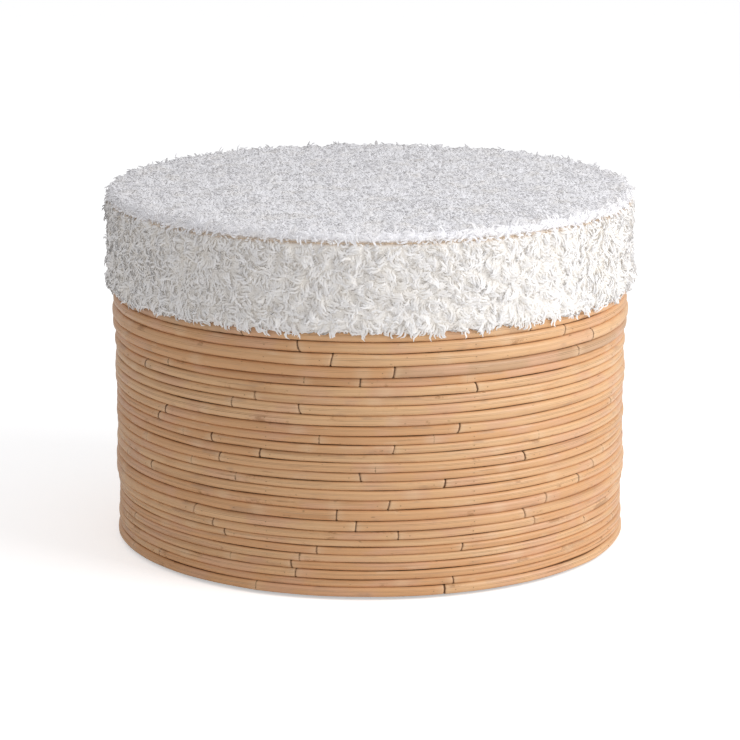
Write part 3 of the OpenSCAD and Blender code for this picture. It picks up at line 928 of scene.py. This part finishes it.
def comb_band(mesh):
    p = vertices_of(mesh)
    out, round_it = ways_of(p)
    swing = 0.9 * smooth_noise(p, 0.11, 5) + 0.35 * smooth_noise(p, 0.035, 6)
    direction = -np.array([0, 0, 1.0]) + round_it * swing[:, None] + out * 0.3
    radius = np.hypot(p[:, 0], p[:, 1])
    length = np.clip((radius - CLOTH_R + 9 * MM) / (6 * MM), 0, 1) * (1 + 0.2 * smooth_noise(p, 0.03, 7))
    comb_cloth(mesh, direction, length * parting(p), 0.85 * np.exp(-((p[:, 2] - SEAM_Z) / (6 * MM)) ** 2))

def comb_panel(mesh):
    p = vertices_of(mesh)
    out, round_it = ways_of(p)
    swirl = math.pi * smooth_noise(p, 0.16, 8)
    radius = np.hypot(p[:, 0], p[:, 1])
    edge = np.clip((radius - LID_R + 26 * MM) / (14 * MM), 0, 1)[:, None]
    below = np.clip((CLOTH_TOP - 2 * MM - p[:, 2]) / (5 * MM), 0, 1)[:, None]
    free = out * np.cos(swirl)[:, None] + round_it * np.sin(swirl)[:, None]
    direction = free * (1 - 0.8 * edge) + out * edge - np.array([0, 0, 1.0]) * below
    length = (1 + 0.4 * edge[:, 0] + 0.12 * smooth_noise(p, 0.03, 9)) * parting(p)
    comb_cloth(mesh, direction, length, 0.35 * edge[:, 0] + 0.2 * below[:, 0])

def lump(mesh, size, depth, seed):
    """Raises the cloth in soft lumps, as locks that have felted together do."""
    points, normal = vertices_of(mesh), normals_of(mesh)
    free = np.clip((points[:, 2] - FLANGE_Z - 1 * MM) / (8 * MM), 0, 1)
    put_back(mesh, points + normal * (smooth_noise(points, size, seed) * depth * free)[:, None])

lump(panel.data, 16 * MM, 0.8 * MM, 21)
lump(band.data, 17 * MM, 1.6 * MM, 22)
comb_panel(panel.data)
comb_band(band.data)

# %% [markdown]
# Now the wool grows. The ring of cloth is shared out by angle into several pieces, because one
# piece with all the strands would be too heavy a mesh. The long wool is made of wide, wandering
# locks and the short wool of small ones that lean every way.

# %% Grow the wool
def wool(name, cloth, parts, **settings):
    """The cloth's wool, shared out by angle into this many pieces."""
    cuts = np.linspace(-math.pi, math.pi, parts + 1)
    pieces = [grown(f"{name}_{k + 1}", cloth.data.copy(), WOOL_TREE, Low_angle=float(cuts[k]),
                    High_angle=float(cuts[k + 1]), Seed=10 + k, **settings) for k in range(parts)]
    faces = [len(p.data.polygons) for p in pieces]
    print(name, "pieces of", faces, "faces,", sum(faces), "in all")
    return pieces

side_wool = wool("side_wool", band, 6, Material=SIDE_WOOL, Spacing=2 * MM, Length=10 * MM,
                 Rise_from=0.8, Bend_to=2.05, Curl=2 * MM, Twists=1.0, Lock_size=8 * MM,
                 Gather=0.7, Stray=1.3, Thickness=1.3 * MM, Softness=0.9, Points=5)
top_wool = wool("top_wool", panel, 7, Material=TOP_WOOL, Spacing=2.4 * MM, Length=6.5 * MM,
                Rise_from=1.05, Bend_to=1.8, Curl=1.2 * MM, Twists=0.8, Lock_size=5 * MM,
                Gather=0.5, Stray=2.8, Thickness=1.25 * MM, Softness=0.9, Points=5)

# %% [markdown]
# Last, the cloth gets its thickness, inwards, and its finish. Cloth and wool both ride on the
# lid and take the place of the same solid of the frame.

# %% Dress the cloth
CLOTH = 1.5 * MM

def dress_cloth(cloth, node, wools, finish):
    thick = cloth.modifiers.new("cloth's thickness", "SOLIDIFY")
    thick.thickness, thick.offset = CLOTH, -1
    settle(cloth)
    cloth.data.materials.clear()
    cloth.data.materials.append(finish)
    cloth.data.shade_smooth()
    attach(cloth, "lid")
    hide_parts(node)
    for piece in wools:
        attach(piece, "lid")
        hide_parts(node)

dress_cloth(panel, "cover_top_panel", top_wool, TOP_WOOL)
dress_cloth(band, "cover_side_band", side_wool, SIDE_WOOL)

# %% [markdown]
# ## The stitches of the seam
#
# Where the pile parts, the thread that joins the two cloths shows as a row of short bows. A ring
# of points is laid on the cloth at the seam's height, and Geometry Nodes set one bow on it every
# few millimetres, turned to the ring's direction. A bow is a curve of a few points with a thin
# round section, so each has fewer than thirty faces.

# %% Sew the seam
def stitch_tree():
    tree, given, result = group("stitches", "GeometryNodeTree",
        [("Geometry", "Geometry"), ("Pitch", "Float", 0.005), ("Length", "Float", 0.004),
         ("Rise", "Float", 0.0014), ("Thread", "Float", 0.0005), ("Material", "Material")],
        [("Geometry", "Geometry")])
    line = put(tree, "GeometryNodeMeshToCurve", {0: given["Geometry"]})
    dots = tree.nodes.new("GeometryNodeCurveToPoints")
    dots.mode = "LENGTH"
    tree.links.new(line, dots.inputs["Curve"])
    tree.links.new(given["Pitch"], dots.inputs["Length"])
    outwards = vectors(tree, "MULTIPLY", put(tree, "GeometryNodeInputPosition"), (1, 1, 0))
    turned = put(tree, "FunctionNodeAxesToRotation", {0: dots.outputs["Tangent"], 1: outwards},
                 primary_axis="X", secondary_axis="Z")
    half = maths(tree, "MULTIPLY", given["Length"], 0.5)
    bow = put(tree, "GeometryNodeCurveQuadraticBezier",
              {"Resolution": 5, "Start": point(tree, maths(tree, "MULTIPLY", half, -1.0), 0.0, 0.0),
               "Middle": point(tree, 0.0, 0.0, given["Rise"]), "End": point(tree, half, 0.0, 0.0)})
    section = put(tree, "GeometryNodeCurvePrimitiveCircle", {"Resolution": 5, "Radius": given["Thread"]})
    stitch = put(tree, "GeometryNodeCurveToMesh",
                 {"Curve": bow, "Profile Curve": section, "Fill Caps": True})
    row = put(tree, "GeometryNodeInstanceOnPoints",
              {"Points": dots.outputs["Points"], "Instance": stitch, "Rotation": turned})
    real = put(tree, "GeometryNodeRealizeInstances", {0: row})
    dressed = put(tree, "GeometryNodeSetMaterial", {0: real, "Material": given["Material"]})
    tree.links.new(dressed, result.inputs[0])
    return tree

def thread():
    made, tree, shader = material("seam thread", Roughness=0.8, Specular_IOR_Level=0.25)
    twist, fine = fibres(tree, place(tree), per_metre=900, stretch=3)
    colour = tint(tree, spread(tree, twist, 0.3, 0.7), (0.62, 0.46, 0.31), (0.72, 0.58, 0.43))
    colour = tint(tree, spread(tree, fine, 0.6, 0.8, 0, 0.5), colour, (0.40, 0.28, 0.18))
    tree.links.new(colour, shader.inputs["Base Color"])
    return made

def sew_seam():
    """Lays a ring on the cloth at the seam's height and sews along it."""
    cloth = vertices_of(band.data)
    shoulder = cloth[np.abs(cloth[:, 2] - SEAM_Z) < 4 * MM]
    angle = np.arctan2(shoulder[:, 1], shoulder[:, 0])
    radius = np.hypot(shoulder[:, 0], shoulder[:, 1])
    around = np.linspace(-math.pi, math.pi, 180, False)
    reach = np.array([radius[np.abs((angle - a + math.pi) % TURN - math.pi) < 0.03].max() for a in around])
    ring = np.stack([reach * np.cos(around), reach * np.sin(around), np.full(len(around), SEAM_Z)], 1)
    edges = [(i, (i + 1) % len(around)) for i in range(len(around))]
    seam = grown("seam_stitches", mesh_of("seam", ring, edges), stitch_tree(), Material=thread())
    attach(seam, "lid")
    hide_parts("cover_side_band")
    print("seam:", len(seam.data.polygons), "faces")

sew_seam()

# %% [markdown]
# ## The stuffing
#
# Nobody sees the foam and the wadding while the cover is on, but they give it its shape, so they
# are made as what they are: a block of foam cut round, a little crowned, with its edge rounded
# by years of sitting, and a layer of wadding laid over it and down its side. Both are turned
# from half an outline. The foam's faces are open cells, which a fine cell pattern shows, and the
# wadding is a mat of white fibres.

# %% Foam and wadding materials
def foam():
    made, tree, shader = material("foam", Roughness=0.95, Specular_IOR_Level=0.15, Subsurface_Weight=0.2,
                                  Subsurface_Scale=0.004)
    at = place(tree)
    cells = put(tree, "ShaderNodeTexVoronoi", {"Vector": at, "Scale": 900.0}, out=0)
    aged = noise(tree, at, 9.0, 3.0)
    colour = tint(tree, spread(tree, aged, 0.35, 0.7), (0.86, 0.80, 0.62), (0.80, 0.69, 0.45))
    colour = tint(tree, spread(tree, cells, 0.2, 0.7, 0, 0.35), colour, (0.95, 0.91, 0.78))
    tree.links.new(colour, shader.inputs["Base Color"])
    bump(tree, shader, cells, 0.5 * MM, 0.7)
    return made

def wadding():
    made, tree, shader = material("wadding", Roughness=0.9, Specular_IOR_Level=0.2, Sheen_Weight=0.4)
    at = place(tree)
    tangle = noise(tree, at, 260.0, 5.0, 0.7)
    mat = noise(tree, at, 28.0, 3.0)
    colour = tint(tree, spread(tree, mat, 0.35, 0.65), (0.86, 0.86, 0.85), (0.94, 0.94, 0.93))
    colour = tint(tree, spread(tree, tangle, 0.55, 0.75, 0, 0.4), colour, (0.74, 0.74, 0.73))
    tree.links.new(colour, shader.inputs["Base Color"])
    bump(tree, shader, tangle, 1.0 * MM, 0.6)
    return made

# %% Cut the foam and lay the wadding over it
def stuffing(name, node, outline, finish, lumps):
    """A turned, remeshed padded piece, a little uneven and more so above its middle."""
    made = lathed(name, outline, count=180)
    remeshed(made, 5 * MM)
    points = vertices_of(made.data)
    heights = [z for _, z in outline]
    below = np.clip(((max(heights) + min(heights)) / 2 - points[:, 2]) / (10 * MM), 0, 1)
    uneven = smooth_noise(points, 45 * MM, len(name))[:, None] * normals_of(made.data) * lumps
    put_back(made.data, points + uneven * (0.3 + 0.7 * (1 - below))[:, None])
    made.data.materials.clear()
    made.data.materials.append(finish)
    made.data.shade_smooth()
    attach(made, "lid")
    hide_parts(node)
    return made

foam_low, foam_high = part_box("foam_pad")
wadding_low, wadding_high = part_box("wadding_wrap")
crown, soft_edge = 1.5 * MM, 9 * MM
foam_r, foam_top = foam_high.x - 1 * MM, foam_high.z - crown - 1 * MM
foam_outline = [(0, foam_low.z + 1 * MM), (foam_r, foam_low.z + 1 * MM),
                *arc(foam_r - soft_edge, foam_top - soft_edge, soft_edge, 0, 90, 6), (0, foam_top + crown)]
foam_core = stuffing("foam_core", "foam_pad", foam_outline, foam(), 0.4 * MM)

layer, hang, middle = 4 * MM, wadding_low.z + 3 * MM, 1 * MM      # the middle rises a little
over_r, over_top, over_edge = wadding_high.x - 0.5 * MM, wadding_high.z - 1.5 * MM, 12 * MM
under_edge = 9 * MM
over = [(over_r, hang), *arc(over_r - over_edge, over_top - over_edge, over_edge, 0, 90, 6),
        (0, over_top + middle)]
under = [(0, over_top + middle - layer),
         *arc(over_r - layer - under_edge, over_top - layer - under_edge, under_edge, 90, 0, 6),
         (over_r - layer, hang)]
wadding_outline = [*over, *under, over[0]]
wadding_layer = stuffing("wadding_layer", "wadding_wrap", wadding_outline, wadding(),
                         0.5 * MM)
print("foam:", len(foam_core.data.polygons), "faces; wadding:", len(wadding_layer.data.polygons), "faces")

# %% [markdown]
# ## The dust cover
#
# Turned over, the lid shows a circle of black non-woven cloth stapled under the board. It is a
# flat sheet, pulled tight from staple to staple, so its edge is drawn in a little between one
# staple and the next, and small ripples run inwards from there. Rings of points carry those
# ripples. The cloth is pressed fibre, bonded in a fine grid of dots, and dust lies in it.

# %% Dust cover
def nonwoven():
    made, tree, shader = material("black nonwoven", Roughness=0.92, Specular_IOR_Level=0.2,
                                  Sheen_Weight=0.25)
    at = place(tree)
    slanted = put(tree, "ShaderNodeMapping",
                  {"Vector": at, "Rotation": (0, 0, math.radians(45)), "Scale": (1.0, 1.0, 0.0)})
    dots = put(tree, "ShaderNodeTexVoronoi", {"Vector": slanted, "Scale": 620.0, "Randomness": 0.12}, out=0)
    tangle = noise(tree, at, 900.0, 3.0, 0.7)
    dust = noise(tree, at, 14.0, 4.0)
    colour = tint(tree, spread(tree, tangle, 0.4, 0.7), (0.018, 0.019, 0.021), (0.05, 0.052, 0.056))
    colour = tint(tree, spread(tree, dots, 0.18, 0.3, 0.6, 0), colour, (0.012, 0.012, 0.013))
    colour = tint(tree, spread(tree, dust, 0.5, 0.8, 0, 0.3), colour, (0.16, 0.15, 0.14))
    tree.links.new(colour, shader.inputs["Base Color"])
    bump(tree, shader, dots, 0.3 * MM, 0.5)
    return made

SHEET, DRAWN_IN, RIPPLE = 0.35 * MM, 0.6 * MM, 0.12 * MM

def dust_sheet(rings=24, staples=44):
    low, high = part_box("dust_cover")
    radius, level = high.x, (low.z + high.z) / 2
    around = np.linspace(0, TURN, staples * 6, False)
    steps = np.linspace(0.02, 1, rings)
    spoke = (1 - np.cos(around * staples)) / 2                    # 0 at a staple, 1 half way to the next
    rows = []
    for share in steps:
        near_edge = math.exp(-((1 - share) / 0.08) ** 2)
        r = radius * share - DRAWN_IN * spoke * near_edge
        z = level + RIPPLE * (2 * spoke - 1) * near_edge
        rows.append(np.stack([r * np.cos(around), r * np.sin(around), z], 1))
    count = len(around)
    points = np.concatenate([*rows, [[0, 0, level]]])
    pairs = [(i, (i + 1) % count) for i in range(count)]
    faces = [(k * count + i, k * count + j, (k + 1) * count + j, (k + 1) * count + i)
             for k in range(rings - 1) for i, j in pairs]
    faces += [(j, i, rings * count) for i, j in pairs]
    sheet = object_of("dust_sheet", mesh_of("dust_sheet", points, faces=[f[::-1] for f in faces]))
    thick = sheet.modifiers.new("cloth's thickness", "SOLIDIFY")
    thick.thickness, thick.offset = SHEET, 0
    settle(sheet)
    sheet.data.materials.append(nonwoven())
    sheet.data.shade_smooth()
    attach(sheet, "lid")
    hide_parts("dust_cover")
    print("dust cover: cut to", round(2 * radius / MM), "mm across,", len(sheet.data.polygons), "faces")

dust_sheet()

# %% [markdown]
# ## Wood
#
# The drum is made of birch plywood, a thin bent wall between a foot ring and a rim ring, with
# eight posts of pale solid timber. On a face of plywood the grain runs one way, in wide wavy
# figures from the peeled log. On its edges the layers show, light and dark by turns, with dark
# glue between. The bent wall's face grain stands upright, because that is the way it bends. The
# frame's own solids have the right shape, so they only get these materials. The figure and the
# layers are two groups, used by the boards, the wall and the posts.

# %% Groups for wood
def make_figure():
    """Wavy rings of growth: the point's first number runs along the grain."""
    tree, given, result = group("wood figure", "ShaderNodeTree",
        [("Point", "Vector"), ("Rings per metre", "Float", 40.0), ("Waviness", "Float", 4.0)],
        [("Figure", "Float")])
    along = vectors(tree, "MULTIPLY", given["Point"], (0.12, 1.0, 1.0))
    waves = put(tree, "ShaderNodeTexWave",
                {"Vector": along, "Scale": given["Rings per metre"], "Distortion": given["Waviness"],
                 "Detail": 3.0, "Detail Scale": 0.35}, out=1, bands_direction="Y", wave_profile="SAW")
    tree.links.new(waves, result.inputs[0])
    return tree

def make_layers():
    """Which layer of the plywood a depth falls in: light or dark, and the glue between them."""
    tree, given, result = group("plywood layers", "ShaderNodeTree",
        [("Depth", "Float"), ("Layer", "Float", 0.0014)], [("Dark layer", "Float"), ("Glue", "Float")])
    two = maths(tree, "MULTIPLY", given["Layer"], 2.0)
    pair = maths(tree, "FRACT", maths(tree, "DIVIDE", given["Depth"], two))
    half = maths(tree, "ABSOLUTE", maths(tree, "SUBTRACT", pair, 0.5))
    tree.links.new(maths(tree, "GREATER_THAN", half, 0.25), result.inputs["Dark layer"])
    to_glue = maths(tree, "ABSOLUTE", maths(tree, "SUBTRACT", half, 0.25))
    tree.links.new(spread(tree, to_glue, 0.02, 0.05, 1, 0), result.inputs["Glue"])
    return tree

FIGURE, LAYERS = make_figure(), make_layers()

def placed(tree, made_group, **feeds):
    """Puts a group into a material and returns its outputs."""
    node = tree.nodes.new("ShaderNodeGroup")
    node.node_tree = made_group
    for label, value in feeds.items():
        socket = node.inputs[label.replace("_", " ")]
        if isinstance(value, bpy.types.NodeSocket):
            tree.links.new(value, socket)
        else:
            socket.default_value = value
    return node.outputs

# %% [markdown]
# A board's edge is told from its face by how steep the surface is, and the bent wall's the other
# way round. The face gets the figure and the fibres, and the edge gets the layers.

# %% Plywood and timber
def split(tree, vector):
    node = tree.nodes.new("ShaderNodeSeparateXYZ")
    tree.links.new(vector, node.inputs[0])
    return node.outputs

def wood_faces(tree, at, pale, dark, rings_per_metre):
    """The colour of a planed face, a height for its bump, and its fine fibres."""
    figure = placed(tree, FIGURE, Point=at, Rings_per_metre=rings_per_metre)[0]
    streaks, fine = fibres(tree, at, per_metre=60, stretch=22)
    colour = tint(tree, spread(tree, figure, 0.55, 1.0, 0, 0.55), pale, dark)
    colour = tint(tree, spread(tree, streaks, 0.45, 0.75, 0, 0.4), colour, dark)
    colour = tint(tree, spread(tree, fine, 0.6, 0.8, 0, 0.4), colour, dark)
    return colour, maths(tree, "ADD", streaks, maths(tree, "MULTIPLY", fine, 0.5)), fine

def plywood(name, bent):
    """Birch plywood, flat with its layers stacked upwards, or bent with them stacked outwards."""
    made, tree, shader = material(name, IOR=1.45, Specular_IOR_Level=0.35)
    at = place(tree)
    x, y, z = split(tree, at)
    steep = maths(tree, "ABSOLUTE", split(tree, put(tree, "ShaderNodeTexCoord", out="Normal"))[2])
    squares = maths(tree, "ADD", maths(tree, "MULTIPLY", x, x), maths(tree, "MULTIPLY", y, y))
    out = maths(tree, "SQRT", squares)
    if bent:
        wall_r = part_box("wall_sheet")[1].x
        grain_at = point(tree, z, maths(tree, "MULTIPLY", maths(tree, "ARCTAN2", y, x), wall_r), out)
        edge, depth, layer = spread(tree, steep, 0.45, 0.55), out, 1 * MM
    else:
        grain_at, edge, depth, layer = at, spread(tree, steep, 0.55, 0.45), z, 1.36 * MM
    colour, height, fine = wood_faces(tree, grain_at, (0.66, 0.49, 0.32), (0.43, 0.27, 0.14), 26.0)
    dark_layer, glue = placed(tree, LAYERS, Depth=depth, Layer=layer)
    end_grain = tint(tree, fine, (0.40, 0.25, 0.13), (0.31, 0.18, 0.09))
    layers = tint(tree, dark_layer, (0.63, 0.45, 0.28), end_grain)
    layers = tint(tree, maths(tree, "MULTIPLY", glue, 0.8), layers, (0.10, 0.05, 0.03))
    tree.links.new(tint(tree, edge, colour, layers), shader.inputs["Base Color"])
    tree.links.new(spread(tree, height, 0.3, 1.2, 0.5, 0.68), shader.inputs["Roughness"])
    bump(tree, shader, height, 0.2 * MM, 0.5)
    return made

def timber():
    """Pale solid timber, with its grain standing upright as in a post."""
    made, tree, shader = material("post timber", IOR=1.45, Specular_IOR_Level=0.3)
    x, y, z = split(tree, place(tree))
    upright = point(tree, z, x, y)
    colour, height = wood_faces(tree, upright, (0.70, 0.53, 0.34), (0.50, 0.31, 0.16), 48.0)[:2]
    tree.links.new(colour, shader.inputs["Base Color"])
    tree.links.new(spread(tree, height, 0.3, 1.2, 0.55, 0.75), shader.inputs["Roughness"])
    bump(tree, shader, height, 0.25 * MM, 0.5)
    return made

# %% [markdown]
# ## Metal and nylon
#
# Screws are zinc-plated, staples are bare steel wire, the canes' pins are thin steel with a brown
# lacquer that hides them in the cane, and the glides under the foot are turned nylon. What they
# share is how handling marks them: a soft mottle and fine scratches. That is one group, placed
# in each of them with its own scale.

# %% Group for handled surfaces
def make_handled():
    tree, given, result = group("handled surface", "ShaderNodeTree",
        [("Point", "Vector"), ("Marks per metre", "Float", 300.0)],
        [("Mottle", "Float"), ("Scratches", "Float")])
    tree.links.new(noise(tree, given["Point"], given["Marks per metre"], 3.0, 0.6), result.inputs["Mottle"])
    turned = put(tree, "ShaderNodeMapping",
                 {"Vector": given["Point"], "Rotation": (0.5, 0.3, 0.8), "Scale": (0.06, 1, 1)})
    many = maths(tree, "MULTIPLY", given["Marks per metre"], 8.0)
    tree.links.new(spread(tree, noise(tree, turned, many, 1.0), 0.6, 0.7), result.inputs["Scratches"])
    return tree

HANDLED = make_handled()

RELIEF = 0.05 * MM

def handled(name, clean, worn, scratch, rough, marks, metallic, **constants):
    """A smooth manufactured surface with mottle and scratches in colour, gloss and relief."""
    made, tree, shader = material(name, Metallic=metallic, **constants)
    mottle, scratches = placed(tree, HANDLED, Point=place(tree), Marks_per_metre=marks)
    colour = tint(tree, spread(tree, mottle, 0.35, 0.65), clean, worn)
    colour = tint(tree, maths(tree, "MULTIPLY", scratches, 0.5), colour, scratch)
    tree.links.new(colour, shader.inputs["Base Color"])
    tree.links.new(spread(tree, mottle, 0.3, 0.7, *rough), shader.inputs["Roughness"])
    bump(tree, shader, maths(tree, "ADD", mottle, maths(tree, "MULTIPLY", scratches, -0.5)), RELIEF, 0.4)
    return made

# %% [markdown]
# Each finish is known by the name of its slot in the frame, and every solid that keeps its own
# shape is given the finish of its slot. Only the bent wall differs: it is plywood too, but its
# layers lie the other way.

# %% Dress the frame's own solids
FINISHES = {
    "plywood": plywood("plywood", bent=False),
    "post_timber": timber(),
    "nylon": handled("nylon", clean=(0.80, 0.78, 0.72), worn=(0.70, 0.67, 0.60), scratch=(0.42, 0.39, 0.34),
                     rough=(0.32, 0.5), marks=220.0, metallic=0.0,
                     Subsurface_Weight=0.3, Subsurface_Scale=0.002),
    "zinc_screw": handled("zinc plate", clean=(0.72, 0.73, 0.75), worn=(0.55, 0.56, 0.57),
                          scratch=(0.86, 0.86, 0.86), rough=(0.28, 0.46), marks=420.0, metallic=1.0),
    "staple_wire": handled("staple wire", clean=(0.62, 0.62, 0.63), worn=(0.47, 0.46, 0.45),
                           scratch=(0.8, 0.8, 0.8), rough=(0.3, 0.45), marks=900.0, metallic=1.0),
    "brad_steel": handled("lacquered pin", clean=(0.42, 0.25, 0.13), worn=(0.34, 0.19, 0.09),
                          scratch=(0.5, 0.36, 0.22), rough=(0.4, 0.6), marks=900.0, metallic=0.0),
}
WALL = plywood("bent plywood", bent=True)

slot_of = {part["node"]: part["material_slot"] for part in frame["record"]["subparts"]}
dressed = 0
for node, solid in frame["nodes"].items():
    if slot_of[node] in FINISHES:
        for slot in solid.material_slots:
            slot.material = WALL if node == "wall_sheet" else FINISHES[slot_of[node]]
        dressed += 1
print("dressed", dressed, "of the frame's own solids")

# %% [markdown]
# ## Floor
#
# A pale painted floor, wide enough to have no edge in any view. Seen directly it also glows a
# little, so that it melts into the sky behind it, but that glow doesn't light the ottoman.

# %% Floor
FAR = 30

def floor():
    mesh = mesh_of("floor", [(-FAR, -FAR, 0), (FAR, -FAR, 0), (FAR, FAR, 0), (-FAR, FAR, 0)],
                   faces=[(0, 1, 2, 3)])
    made = object_of("floor", mesh)
    finish, tree, shader = material("floor paint", Roughness=0.9, Specular_IOR_Level=0.1)
    glow = put(tree, "ShaderNodeEmission", {"Strength": 0.45})
    both = put(tree, "ShaderNodeAddShader", {0: shader.outputs[0], 1: glow})
    seen = put(tree, "ShaderNodeLightPath")
    only_seen = put(tree, "ShaderNodeMixShader", {0: seen, 1: shader.outputs[0], 2: both})
    tree.links.new(only_seen, tree.nodes["Material Output"].inputs["Surface"])
    grit = noise(tree, place(tree), 40.0, 3.0)
    tree.links.new(tint(tree, grit, (0.97, 0.97, 0.97), (0.99, 0.99, 0.99)), shader.inputs["Base Color"])
    mesh.materials.append(finish)

floor()
